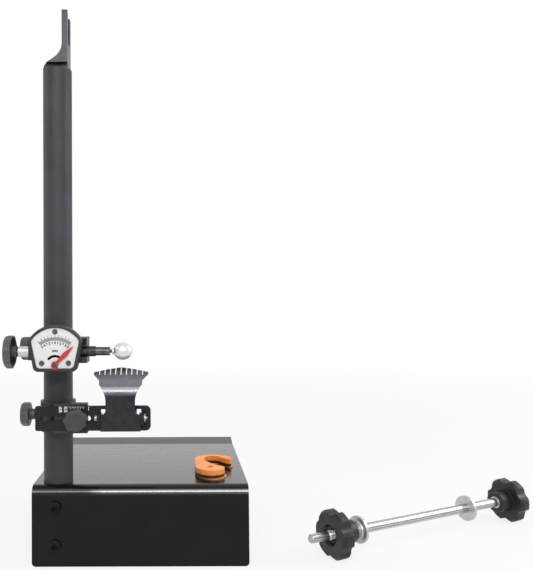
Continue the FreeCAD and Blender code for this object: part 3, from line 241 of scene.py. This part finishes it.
def arm_paint():
    s = painted("arm_paint", dark=(0.012, 0.0115, 0.013), light=(0.019, 0.019, 0.021),
                roughness=0.40, peel_size=0.0011, peel_depth=0.00005, edge_radius=0.0004,
                wear=0.5)
    s.set(specular_ior_level=0.22)
    return s


def black_screw():
    s = painted("black_screw", dark=(0.006, 0.006, 0.0065), light=(0.010, 0.010, 0.0105),
                roughness=0.50, peel_size=0.0009, peel_depth=0.00002, edge_radius=0.0004,
                wear=0.1)
    s.set(specular_ior_level=0.12)
    return s


def head_steel():
    """Blackened steel with lengthwise rolling lines."""
    return turned_metal("head_steel", dark=(0.036, 0.035, 0.040), light=(0.050, 0.049, 0.055),
                        roughness=0.34, line_scale=(2600.0, 2600.0, 60.0), line_depth=0.000004,
                        metallic=0.9)


def blade_steel():
    """Blackened steel sheet, with a painted highlight along the bend and a painted reflection of the bright sky on
    the fan above it.
    """
    s = turned_metal("blade_steel", dark=(0.035, 0.034, 0.039), light=(0.048, 0.046, 0.052),
                     roughness=0.26, line_scale=(3200.0, 3200.0, 90.0), line_depth=0.0000005,
                     patch_scale=140.0)
    bend_start, bend_full, fan_start, fan_full = 0.1725, 0.1750, 0.1815, 0.1840
    tip_start, tip_full = 0.186, 0.197
    split = s.add("ShaderNodeSeparateXYZ")
    s.feed(split.inputs[0], s.place)
    height = split.outputs["Z"]
    web = s.surface.inputs["Base Color"].links[0].from_socket
    fine = s.noise(1.0, 2.0, 0.5, s.stretched((900.0, 200.0, 60.0)))
    # Painted light: the fan is coloured lighter as if it reflected the sky, darker again towards its tip, and the
    # bend gets a lighter painted highlight.
    tip = s.blend(fine, (0.095, 0.093, 0.105), (0.115, 0.113, 0.126))
    fan_painted_reflection = s.blend(fine, (0.235, 0.238, 0.268), (0.262, 0.265, 0.298))
    fan_painted_reflection = s.blend(s.span(height, tip_start, tip_full, 0.0, 1.0), fan_painted_reflection, tip)
    bend_painted_highlight = s.blend(fine, (0.180, 0.175, 0.190), (0.205, 0.200, 0.215))
    colour = s.blend(s.span(height, bend_start, bend_full, 0.0, 1.0), web, bend_painted_highlight)
    colour = s.blend(s.span(height, fan_start, fan_full, 0.0, 1.0), colour, fan_painted_reflection)
    s.set(base_color=colour)
    return s


def zinc():
    return turned_metal("zinc", dark=(0.50, 0.51, 0.515), light=(0.60, 0.605, 0.60),
                        roughness=0.38, line_scale=(900.0, 2500.0, 2500.0), metallic=0.85)


def ball_zinc():
    """Smooth satin plating of the feeler ball."""
    return turned_metal("ball_zinc", dark=(0.70, 0.725, 0.74), light=(0.78, 0.795, 0.80),
                        roughness=0.32, line_scale=(60.0, 900.0, 900.0), line_depth=0.000002,
                        metallic=0.75, patch_scale=60.0)


def cast_zinc():
    """Grainy plating of the guide nut."""
    return turned_metal("cast_zinc", dark=(0.58, 0.60, 0.615), light=(0.72, 0.73, 0.74),
                        roughness=0.48, line_scale=(900.0, 1300.0, 1300.0), line_depth=0.00003,
                        metallic=0.6, patch_scale=900.0)


def rod_steel():
    """Drawn and plated bar; its drawing lines run along the rod, and grey lengthwise streaks painted into its
    colour stand in for dark reflections.
    """
    along = next(j["axis"] for j in frame["joints"] if j["name"] == "near_knob_turn")
    yaw = math.atan2(along[1], along[0])
    s = turned_metal("rod_steel", dark=(0.50, 0.525, 0.545), light=(0.58, 0.595, 0.60),
                     roughness=0.30, line_scale=(8.0, 1400.0, 1400.0), line_depth=0.000008,
                     patch_scale=90.0, yaw=yaw)
    streak_reflection_grey = (0.26, 0.27, 0.285)
    plated = s.surface.inputs["Base Color"].links[0].from_socket
    # Painted reflection: grey lengthwise streaks in the colour, standing in for the dark reflections along the
    # rod.
    painted_reflection_streaks = s.noise(1.0, 1.0, 0.4, s.stretched((4.0, 620.0, 620.0), yaw))
    s.set(base_color=s.blend(s.span(painted_reflection_streaks, 0.50, 0.58, 0.0, 0.80), plated, streak_reflection_grey))
    return s


def clip_steel():
    """Grey phosphated steel of the hinge pin and its clip."""
    return turned_metal("clip_steel", dark=(0.30, 0.30, 0.305), light=(0.40, 0.40, 0.405),
                        roughness=0.38, line_scale=(1500.0, 2600.0, 2600.0))


def screw_steel():
    return turned_metal("screw_steel", dark=(0.07, 0.07, 0.075), light=(0.14, 0.14, 0.145),
                        roughness=0.32, line_scale=(1500.0, 2600.0, 2600.0))


def spring_steel():
    return turned_metal("spring_steel", dark=(0.35, 0.35, 0.36), light=(0.55, 0.55, 0.55),
                        roughness=0.3, line_scale=(400.0, 2600.0, 2600.0), edge_radius=0.0001)


def bush_plastic():
    return moulded("bush_plastic", dark=(0.012, 0.012, 0.013), light=(0.022, 0.022, 0.023),
                   roughness=0.42, grain_size=0.0005, grain_depth=0.00002)


def collar_plastic():
    return moulded("collar_plastic", dark=(0.012, 0.012, 0.013), light=(0.022, 0.022, 0.024),
                   roughness=0.45, grain_size=0.0006, grain_depth=0.00004)


def knob_plastic():
    return moulded("knob_plastic", dark=(0.030, 0.030, 0.034), light=(0.044, 0.044, 0.050),
                   roughness=0.40, grain_size=0.0006, grain_depth=0.00004, edge_radius=0.0012)


def side_knob_plastic():
    """The greyer knobs at the gauges' left ends."""
    return moulded("side_knob_plastic", dark=(0.062, 0.060, 0.069), light=(0.084, 0.081, 0.092),
                   roughness=0.44, grain_size=0.0006, grain_depth=0.00004, edge_radius=0.0012)


def hand_knob_plastic():
    return moulded("hand_knob_plastic", dark=(0.005, 0.005, 0.0046), light=(0.010, 0.010, 0.009),
                   roughness=0.40, grain_size=0.0008, grain_depth=0.00005, edge_radius=0.0016)


def dial_white():
    """White enamel on the dial plate, with a trace of dust."""
    s = Shader("dial_white")
    dark, light = (0.74, 0.73, 0.725), (0.80, 0.79, 0.78)
    dust_grey, edge_grey = (0.55, 0.54, 0.53), (0.5, 0.5, 0.5)
    soft, edge = s.edges(0.0002)
    colour = s.blend(s.span(s.noise(220.0, 4.0), 0.35, 0.7, 0.0, 1.0), dark, light)
    dust = s.span(s.cells(900.0), 0.09, 0.03, 0.0, 0.25)
    colour = s.blend(dust, colour, dust_grey)
    colour = s.blend(s.math("MULTIPLY", edge, 0.3), colour, edge_grey)
    s.set(base_color=colour, roughness=s.span(s.noise(500.0), 0.3, 0.7, 0.30, 0.42),
          normal=s.bump(s.noise(1400.0, 2.0), 0.00001, soft))
    return s


def needle_red():
    return painted("needle_red", dark=(0.42, 0.018, 0.014), light=(0.55, 0.036, 0.022),
                   roughness=0.38, peel_size=0.0006, peel_depth=0.00001, edge_radius=0.0002,
                   wear=0.15)


def spacer_orange():
    s = moulded("spacer_orange", dark=(0.88, 0.235, 0.020), light=(0.96, 0.31, 0.045),
                roughness=0.34, grain_size=0.0010, grain_depth=0.00002)
    s.set(subsurface_weight=0.05, subsurface_radius=(0.004, 0.0015, 0.0006))
    return s


def spacer_black():
    return moulded("spacer_black", dark=(0.010, 0.010, 0.010), light=(0.018, 0.018, 0.018),
                   roughness=0.5, grain_size=0.0008, grain_depth=0.00005)


def print_ink(name, colour):
    """Screen-printed ink with uneven cover."""
    s = Shader(name)
    cover = s.span(s.noise(2600.0, 4.0), 0.3, 0.75, 0.0, 1.0)
    s.set(base_color=s.blend(cover, colour, tuple(min(1.0, 1.35 * c + 0.02) for c in colour)),
          roughness=s.span(s.noise(900.0), 0.3, 0.7, 0.45, 0.6))
    return s


FINISHES = {
    "base_paint": base_paint(), "column_paint": column_paint(), "arm_paint": arm_paint(),
    "black_screw": black_screw(), "head_steel": head_steel(), "zinc": zinc(),
    "screw_steel": screw_steel(), "spring_steel": spring_steel(),
    "bush_plastic": bush_plastic(), "collar_plastic": collar_plastic(),
    "knob_plastic": knob_plastic(), "dial_white": dial_white(), "needle_red": needle_red(),
    "spacer_orange": spacer_orange(), "spacer_black": spacer_black(),
}
BLADE_STEEL = blade_steel()
BALL_ZINC = ball_zinc()
CAST_ZINC = cast_zinc()
SIDE_KNOB = side_knob_plastic()
CLIP_STEEL = clip_steel()
ROD_STEEL = rod_steel()
HAND_KNOB = hand_knob_plastic()
DARK_INK = print_ink("dark_ink", (0.02, 0.02, 0.022))
GREY_INK = print_ink("grey_ink", (0.30, 0.30, 0.30))
PALE_INK = print_ink("pale_ink", (0.62, 0.62, 0.62))


def dress(obj, finish):
    """Give every part of an object one finish."""
    obj.data.materials.clear()
    obj.data.materials.append(finish.material)


def dress_nodes():
    for part in frame["record"]["subparts"]:
        dress(NODES[part["node"]], FINISHES[part["material_slot"]])
    own = {"gauge_blade": BLADE_STEEL, "hinge_pin": CLIP_STEEL, "pin_clip": CLIP_STEEL,
           "feeler_ball": BALL_ZINC, "guide_nut": CAST_ZINC, "adjust_knob": SIDE_KNOB,
           "upper_clamp_knob": SIDE_KNOB, "lower_clamp_knob": SIDE_KNOB,
           "near_knob": HAND_KNOB, "far_knob": HAND_KNOB}
    for node, finish in own.items():
        dress(NODES[node], finish)


# ---------------------------------------------------------------- new pieces
def new_piece(name, points, faces, finish, body, smooth=False):
    """A mesh piece with one finish that rides on a body."""
    mesh = bpy.data.meshes.new(name)
    mesh.from_pydata([tuple(p) for p in points], [], faces)
    mesh.update()
    piece = bpy.data.objects.new(name, mesh)
    bpy.context.scene.collection.objects.link(piece)
    for polygon in mesh.polygons:
        polygon.use_smooth = smooth
    dress(piece, finish)
    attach(piece, body)
    return piece


def axis_frame(start, along):
    """A matrix that puts a piece drawn along +Z at a start point, along a direction."""
    turn = UP.rotation_difference(along).to_matrix().to_4x4()
    return Matrix.Translation(start) @ turn


THREAD_DEPTH = 0.58     # share of the pitch


def screw_radius(height, turn, radius, pitch, depth):
    """Radius of a thread at a height and at a share of a turn: a flat crest, sloped
    flanks and a flat root."""
    flank_slope, crest_flat = 2.5, 0.12
    phase = (height / pitch - turn) % 1.0
    below_crest = min(max(abs(phase - 0.5) * flank_slope - crest_flat, 0.0), 1.0)
    return radius - depth * below_crest


def turned_piece(name, start, along, heights, radius_at, finish, body):
    """A closed round piece along a direction; its radius depends on height and turn."""
    around = 30     # points in each ring
    place = axis_frame(start, along)
    points = []
    for height in heights:
        for j in range(around):
            angle = 2 * math.pi * j / around
            r = radius_at(height, j / around)
            points.append(place @ Vector((r * math.cos(angle), r * math.sin(angle), height)))
    faces = []
    for i in range(len(heights) - 1):
        low, high = i * around, (i + 1) * around
        for j in range(around):
            after = (j + 1) % around
            faces.append((low + j, low + after, high + after, high + j))
    top = (len(heights) - 1) * around
    faces.append(tuple(reversed(range(around))))
    faces.append(tuple(range(top, top + around)))
    piece = new_piece(name, points, faces, finish, body, smooth=True)
    for cap in list(piece.data.polygons)[-2:]:
        cap.use_smooth = False
    return piece


def evenly(low, high, step):
    count = max(1, round((high - low) / step))
    return [low + (high - low) * i / count for i in range(count + 1)]


def make_clamp_rod():
    """The clamp rod: plain chamfered tip, M10 thread under the near knob, plain shaft."""
    points = [v.co for v in NODES["axle_rod"].data.vertices]
    along = Vector(next(j["axis"] for j in frame["joints"] if j["name"] == "near_knob_turn"))
    across = UP.cross(along)

    def span(direction):
        reach = [p.dot(direction) for p in points]
        return min(reach), max(reach)

    first, last = span(along)
    length = last - first
    start = along * first + across * sum(span(across)) / 2 + UP * sum(span(UP)) / 2
    tip, thread_end, pitch, chamfer = 24 * MM, 64.5 * MM, 1.5 * MM, 0.7 * MM
    tip_radius, radius, point, point_step = 4.6 * MM, 5 * MM, 1.5 * MM, 1 * MM

    def radius_at(height, turn):
        ends = min(height / point, (length - height) / chamfer, 1.0)
        if height < tip:
            return tip_radius - (1 - ends) * point_step
        if height < thread_end:
            run_in = min((height - tip) / pitch, (thread_end - height) / pitch, 1.0)
            return screw_radius(height, turn, radius, pitch, THREAD_DEPTH * pitch * run_in)
        return radius - (1 - ends) * chamfer

    heights = ([0.0, point] + evenly(1.6 * MM, tip - 0.02 * MM, 4 * MM)
               + evenly(tip, thread_end, pitch / 8)
               + evenly(thread_end + 0.05 * MM, length - chamfer, 8 * MM) + [length])
    rod = turned_piece("clamp_rod", start, along, heights, radius_at, ROD_STEEL, "axle")
    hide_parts("axle_rod")


def make_clamp_screw(node, body):
    """Thread of a small clamp screw, which runs along X."""
    low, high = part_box(node)
    start = Vector((low.x, (low.y + high.y) / 2, (low.z + high.z) / 2))
    radius, pitch = (high.z - low.z) / 2, 0.8 * MM
    screw = turned_piece(node + "_thread", start, Vector((1, 0, 0)),
                         evenly(0.0, high.x - low.x, pitch / 8),
                         lambda height, turn: screw_radius(height, turn, radius, pitch,
                                                           THREAD_DEPTH * pitch),
                         FINISHES["screw_steel"], body)
    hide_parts(node)


# ---------------------------------------------------------------- printed scales
INK_THICK = 0.04 * MM
CAP_HEIGHT = 0.7        # share of a font's size


def flat_print(name, outlines, y, finish, body):
    """Thin printed shapes that face the front; each outline is a list of (x, z)."""
    points, faces = [], []
    for outline in outlines:
        count, base = len(outline), len(points)
        points += [Vector((x, y - INK_THICK, z)) for x, z in outline]
        points += [Vector((x, y, z)) for x, z in outline]
        faces.append(tuple(range(base, base + count)))
        faces.append(tuple(reversed(range(base + count, base + 2 * count))))
        for i in range(count):
            after = (i + 1) % count
            faces.append((base + after, base + i, base + count + i, base + count + after))
    return new_piece(name, points, faces, finish, body)


def polar(centre, radius, degrees):
    """A point on a dial, with the angle from straight up, clockwise."""
    angle = math.radians(degrees)
    return centre[0] + radius * math.sin(angle), centre[1] + radius * math.cos(angle)


def bar(centre, inner, outer, degrees, width):
    """Outline of a straight tick that points at the dial's centre."""
    angle = math.radians(degrees)
    side_x, side_z = math.cos(angle) * width / 2, -math.sin(angle) * width / 2
    (x0, z0), (x1, z1) = polar(centre, inner, degrees), polar(centre, outer, degrees)
    return [(x0 - side_x, z0 - side_z), (x0 + side_x, z0 + side_z),
            (x1 + side_x, z1 + side_z), (x1 - side_x, z1 - side_z)]


def ring_strip(centre, inner, outer, low, high, steps=24):
    """Outline of an arc-shaped strip."""
    angles = [low + (high - low) * i / steps for i in range(steps + 1)]
    return ([polar(centre, outer, a) for a in angles]
            + [polar(centre, inner, a) for a in reversed(angles)])


def lettering(name, text, x, y, z, height, turn, finish, body, width=1.0):
    """Plain text as thin raised ink that faces the front, centred on a point."""
    curve = bpy.data.curves.new(name + "_text", "FONT")
    curve.body = text
    curve.size = 1.0
    curve.align_x = "CENTER"
    curve.align_y = "CENTER"
    curve.extrude = INK_THICK / 2 / height * CAP_HEIGHT
    curve.offset = 0.05
    source = bpy.data.objects.new(name + "_source", curve)
    bpy.context.scene.collection.objects.link(source)
    bpy.context.view_layer.update()
    mesh = bpy.data.meshes.new_from_object(source)
    bpy.data.objects.remove(source)
    scale = height / CAP_HEIGHT
    place = (Matrix.Translation((x, y - INK_THICK / 2, z))
             @ Matrix.Rotation(math.radians(turn), 4, "Y")
             @ Matrix.Rotation(math.radians(90), 4, "X")
             @ Matrix.Diagonal((scale * width, scale, scale, 1.0)))
    mesh.transform(place)
    mesh.name = name
    piece = bpy.data.objects.new(name, mesh)
    bpy.context.scene.collection.objects.link(piece)
    dress(piece, finish)
    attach(piece, body)
    return piece


def make_dial_print():
    """Scale, numbers and unit on the dial's white plate."""
    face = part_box("dial_plate")[0].y
    pivot_low, pivot_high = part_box("needle_pivot")
    centre = ((pivot_low.x + pivot_high.x) / 2, (pivot_low.z + pivot_high.z) / 2)
    unit_angle, units, ticks_in_unit = 7.2, 5, 5
    limit = unit_angle * units
    band_inner, band_outer = 23.6 * MM, 27.0 * MM
    fine_inner, fine_outer, long_outer = 23.7 * MM, 26.9 * MM, 29.2 * MM
    number_radius, unit_rise = 21.4 * MM, 13.7 * MM
    fine = [bar(centre, fine_inner, fine_outer, a * unit_angle / ticks_in_unit, 0.12 * MM)
            for a in range(-ticks_in_unit * units, ticks_in_unit * units + 1)]
    flat_print("dial_fine_ticks", fine, face - INK_THICK, DARK_INK, "upper_gauge")
    flat_print("dial_band", [ring_strip(centre, band_inner, band_outer, -limit - 1, limit + 1)],
               face, GREY_INK, "upper_gauge")
    long_ticks = [bar(centre, fine_outer, long_outer, a * unit_angle, 0.45 * MM)
                  for a in range(-units, units + 1)]
    flat_print("dial_long_ticks", long_ticks, face, DARK_INK, "upper_gauge")
    for number in range(-units, units + 1):
        angle = number * unit_angle
        x, z = polar(centre, number_radius, angle)
        side = "left" if number < 0 else "right"
        lettering(f"dial_number_{side}_{abs(number)}", str(abs(number)), x, face, z, 2.5 * MM,
                  angle, DARK_INK, "upper_gauge")
    lettering("dial_unit", "mm", centre[0], face, centre[1] + unit_rise, 2.6 * MM, 0.0,
              DARK_INK, "upper_gauge")


def make_arm_print():
    """Plain scale along the sliding arm's upper edge."""
    face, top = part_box("lower_collar")[0].y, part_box("arm_plate")[1].z
    edge = top - 0.6 * MM
    first_tick, tick_pitch, short_tick, middle_tick = -69.5, 1.6, 1.5, 2.3

    def upright_bar(x, length, width):
        return [((x - width / 2) * MM, edge - length * MM),
                ((x + width / 2) * MM, edge - length * MM),
                ((x + width / 2) * MM, edge), ((x - width / 2) * MM, edge)]

    ticks = [upright_bar(first_tick + tick_pitch * i, middle_tick if i % 2 else short_tick, 0.5)
             for i in range(10)]
    ticks.append(upright_bar(-50.2, 3.8, 0.6))
    flat_print("arm_ticks", ticks, face, PALE_INK, "arm")
    for index, (x, rows) in enumerate(((-78.3, ("26", "28")), (-73.0, ("20", "24")))):
        for row, text in enumerate(rows):
            lettering(f"arm_number_{index}_{row}", text, x * MM, face,
                      top - (1.9 + 3.0 * row) * MM, 2.4 * MM, 0.0, PALE_INK, "arm",
                      width=0.95)


# ---------------------------------------------------------------- studio
def make_floor():
    """Plain pale floor; the camera sees it almost white, and wholly white far away."""
    s = Shader("floor")
    s.set(base_color=s.blend(s.noise(3.0), (0.80, 0.80, 0.80), (0.82, 0.82, 0.82)),
          roughness=0.9, specular_ior_level=0.1)
    glow = s.add("ShaderNodeEmission")
    glow.inputs["Strength"].default_value = 1.0
    shadow_reach, white_from, share_near = 0.6, 2.2, 0.82
    distance = s.add("ShaderNodeVectorMath", operation="LENGTH")
    s.feed(distance.inputs[0], s.place)
    share = s.span(distance.outputs["Value"], shadow_reach, white_from, share_near, 1.0)
    mix = s.add("ShaderNodeMixShader")
    path = s.add("ShaderNodeLightPath").outputs
    seen = s.math("MAXIMUM", path["Is Camera Ray"], path["Is Glossy Ray"])
    seen = s.math("MAXIMUM", seen, path["Is Transmission Ray"])
    s.feed(mix.inputs[0], s.math("MULTIPLY", seen, share))
    s.feed(mix.inputs[1], s.surface.outputs[0])
    s.feed(mix.inputs[2], glow.outputs[0])
    s.feed(s.tree.nodes["Material Output"].inputs["Surface"], mix.outputs[0])
    half = 6.0
    mesh = bpy.data.meshes.new("floor")
    mesh.from_pydata([(-half, -half, 0), (half, -half, 0), (half, half, 0), (-half, half, 0)],
                     [], [(0, 1, 2, 3)])
    floor = bpy.data.objects.new("floor", mesh)
    bpy.context.scene.collection.objects.link(floor)
    dress(floor, s)


def make_world():
    """A white backdrop at the back and a pale one in front, for the camera and in
    reflections; the light that falls on the object fades overhead and towards the front."""
    world = bpy.data.worlds.new("studio")
    bpy.context.scene.world = world
    world.use_nodes = True
    tree = world.node_tree
    background = tree.nodes["Background"]

    def add(kind, **settings):
        node = tree.nodes.new(kind)
        for name, value in settings.items():
            setattr(node, name, value)
        return node

    def ramp(value, low, high, start, end):
        node = add("ShaderNodeMapRange", interpolation_type="SMOOTHSTEP")
        tree.links.new(value, node.inputs["Value"])
        for name, number in (("From Min", low), ("From Max", high), ("To Min", start),
                             ("To Max", end)):
            node.inputs[name].default_value = number
        return node.outputs[0]

    def combine(operation, a, b):
        node = add("ShaderNodeMath", operation=operation)
        tree.links.new(a, node.inputs[0])
        tree.links.new(b, node.inputs[1])
        return node.outputs[0]

    split = add("ShaderNodeSeparateXYZ")
    tree.links.new(add("ShaderNodeTexCoord").outputs["Generated"], split.inputs[0])
    height = ramp(split.outputs["Z"], 0.45, 0.85, 1.0, 0.40)
    depth = ramp(split.outputs["Y"], -0.6, 0.5, 0.14, 1.0)
    light = combine("MAXIMUM", combine("MULTIPLY", height, depth),
                    ramp(split.outputs["Z"], 0.75, 0.95, 0.0, 0.75))
    backdrop = ramp(split.outputs["Y"], -0.6, 0.5, 0.6, 1.0)
    path = add("ShaderNodeLightPath").outputs
    seen = combine("MAXIMUM", path["Is Camera Ray"], path["Is Glossy Ray"])
    seen = combine("MAXIMUM", seen, path["Is Transmission Ray"])
    strength = combine("MAXIMUM", light, combine("MULTIPLY", seen, backdrop))
    tree.links.new(strength, background.inputs["Strength"])
    background.inputs["Color"].default_value = (1, 1, 1, 1)


def soft_box(name, at, target, width, height, watts):
    """A rectangular studio lamp that looks at a point."""
    data = bpy.data.lights.new(name, "AREA")
    data.shape = "RECTANGLE"
    data.size, data.size_y = width, height
    data.energy = watts
    lamp = bpy.data.objects.new(name, data)
    bpy.context.scene.collection.objects.link(lamp)
    lamp.location = at
    lamp.rotation_euler = (Vector(target) - Vector(at)).to_track_quat("-Z", "Y").to_euler()


def make_lights():
    middle = (0.1, 0.1, 0.25)
    soft_box("front_top", (0.1, -1.3, 1.45), middle, 1.9, 1.0, 11.0)
    soft_box("front_strip", (0.1, -1.6, 0.95), middle, 1.9, 0.24, 13.0)
    soft_box("left_side", (-1.6, -0.1, 0.9), middle, 0.9, 1.3, 4.5)
    soft_box("right_side", (1.7, 0.1, 1.0), middle, 0.9, 1.3, 13.0)


def make_camera():
    """The photograph's viewpoint: focal length 675 of its 533 x 570 pixels."""
    focal, sensor, long_side = 675.0, 36.0, 570.0
    principal_x, middle_x = 170.0, 266.5
    eye = (0.037614, -0.680960, 0.266252)
    yaw, pitch, roll = (math.radians(a) for a in (-0.526, 1.282, -0.378))
    forward = Vector((math.sin(yaw) * math.cos(pitch), math.cos(yaw) * math.cos(pitch),
                      math.sin(pitch)))
    right = Vector((math.cos(yaw), -math.sin(yaw), 0))
    above = right.cross(forward)
    x_axis = math.cos(roll) * right + math.sin(roll) * above
    y_axis = -math.sin(roll) * right + math.cos(roll) * above
    data = bpy.data.cameras.new("camera")
    data.sensor_width = sensor
    data.lens = focal * sensor / long_side
    data.shift_x = (middle_x - principal_x) / long_side
    data.clip_start = 0.01
    camera = bpy.data.objects.new("camera", data)
    bpy.context.scene.collection.objects.link(camera)
    turn = Matrix((x_axis, y_axis, -forward)).transposed().to_4x4()
    camera.matrix_world = Matrix.Translation(eye) @ turn
    bpy.context.scene.camera = camera


def make_studio():
    make_floor()
    make_world()
    make_lights()
    make_camera()
    bpy.context.scene.view_settings.view_transform = "Standard"


dress_nodes()
make_clamp_rod()
make_clamp_screw("upper_clamp_screw", "upper_clamp")
make_clamp_screw("lower_clamp_screw", "lower_clamp")
make_dial_print()
make_arm_print()
make_studio()
